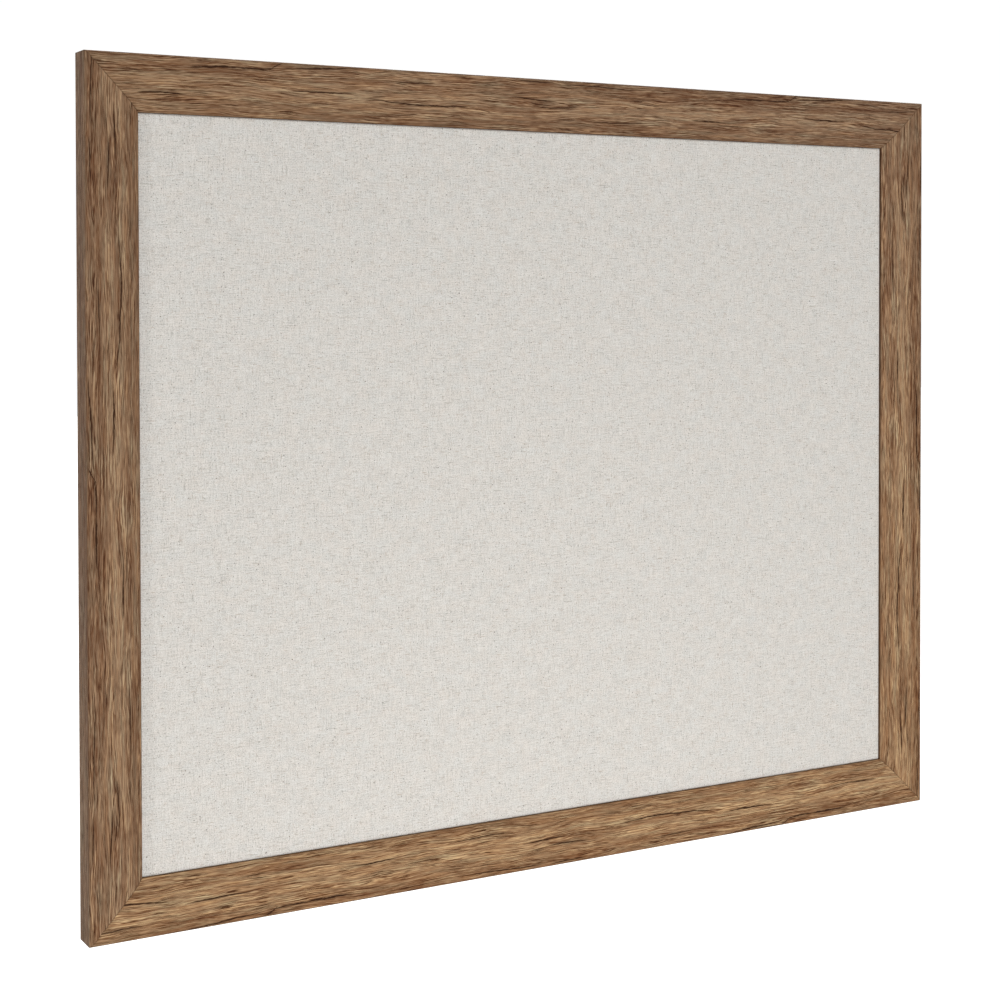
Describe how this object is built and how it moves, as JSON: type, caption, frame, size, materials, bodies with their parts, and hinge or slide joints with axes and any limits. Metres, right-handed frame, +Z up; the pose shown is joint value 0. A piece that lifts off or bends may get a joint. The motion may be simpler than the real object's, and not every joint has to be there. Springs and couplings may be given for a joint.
{
  "type": "pinboard",
  "caption": "Wide linen-covered pinboard in a mitred woodgrain picture-frame moulding, with swinging ring hangers and rubber wall bumpers on its back.",
  "frame": {"origin": "the middle of the board in the wall's plane, which is the plane of the wall bumpers' faces", "axes": "+X to the right seen from the front, +Y into the wall, +Z up; the linen faces -Y"},
  "size_m": [0.838, 0.0303, 0.686],
  "materials": {
    "woodgrain_moulding": "rustic brown woodgrain, satin",
    "linen": "natural plain-weave linen, undyed, with slubs",
    "fibreboard": "soft fibreboard, raw",
    "hardboard": "tempered hardboard, smooth",
    "zinc_steel": "zinc plated, pressed",
    "bright_steel": "drawn wire, nickel plated",
    "rubber": "moulded, matt"
  },
  "bodies": {
    "board": {"frame_rail_top": "woodgrain_moulding", "frame_rail_bottom": "woodgrain_moulding", "frame_stile_left": "woodgrain_moulding", "frame_stile_right": "woodgrain_moulding", "linen_cover": "linen", "pin_core": "fibreboard", "backing_panel": "hardboard", "corner_nail_top_left_1": "zinc_steel", "corner_nail_top_left_2": "zinc_steel", "corner_nail_top_right_1": "zinc_steel", "corner_nail_top_right_2": "zinc_steel", "corner_nail_bottom_right_1": "zinc_steel", "corner_nail_bottom_right_2": "zinc_steel", "corner_nail_bottom_left_1": "zinc_steel", "corner_nail_bottom_left_2": "zinc_steel", "retainer_point_top_1": "zinc_steel", "retainer_point_top_2": "zinc_steel", "retainer_point_top_3": "zinc_steel", "retainer_point_top_4": "zinc_steel", "retainer_point_right_1": "zinc_steel", "retainer_point_right_2": "zinc_steel", "retainer_point_right_3": "zinc_steel", "retainer_point_bottom_1": "zinc_steel", "retainer_point_bottom_2": "zinc_steel", "retainer_point_bottom_3": "zinc_steel", "retainer_point_bottom_4": "zinc_steel", "retainer_point_left_1": "zinc_steel", "retainer_point_left_2": "zinc_steel", "retainer_point_left_3": "zinc_steel", "hanger_strap_left": "zinc_steel", "hanger_strap_right": "zinc_steel", "hanger_strap_top": "zinc_steel", "hanger_strap_bottom": "zinc_steel", "hanger_screw_left_1": "zinc_steel", "hanger_screw_left_2": "zinc_steel", "hanger_screw_right_1": "zinc_steel", "hanger_screw_right_2": "zinc_steel", "hanger_screw_top_1": "zinc_steel", "hanger_screw_top_2": "zinc_steel", "hanger_screw_bottom_1": "zinc_steel", "hanger_screw_bottom_2": "zinc_steel", "wall_bumper_top_left": "rubber", "wall_bumper_top_right": "rubber", "wall_bumper_bottom_right": "rubber", "wall_bumper_bottom_left": "rubber"},
    "ring_left": {"hanger_ring_left": "bright_steel"},
    "ring_right": {"hanger_ring_right": "bright_steel"},
    "ring_top": {"hanger_ring_top": "bright_steel"},
    "ring_bottom": {"hanger_ring_bottom": "bright_steel"}
  },
  "joints": [
    {"name": "ring_left_swing", "type": "hinge", "parent": "board", "child": "ring_left", "pos_m": [-0.4, -0.0028, 0.259], "axis": [-1, 0, 0], "range_deg": [0, 180]},
    {"name": "ring_right_swing", "type": "hinge", "parent": "board", "child": "ring_right", "pos_m": [0.4, -0.0028, 0.259], "axis": [-1, 0, 0], "range_deg": [0, 180]},
    {"name": "ring_top_swing", "type": "hinge", "parent": "board", "child": "ring_top", "pos_m": [-0.335, -0.0028, 0.324], "axis": [0, 0, -1], "range_deg": [0, 180]},
    {"name": "ring_bottom_swing", "type": "hinge", "parent": "board", "child": "ring_bottom", "pos_m": [-0.335, -0.0028, -0.324], "axis": [0, 0, -1], "range_deg": [0, 180]}
  ]
}
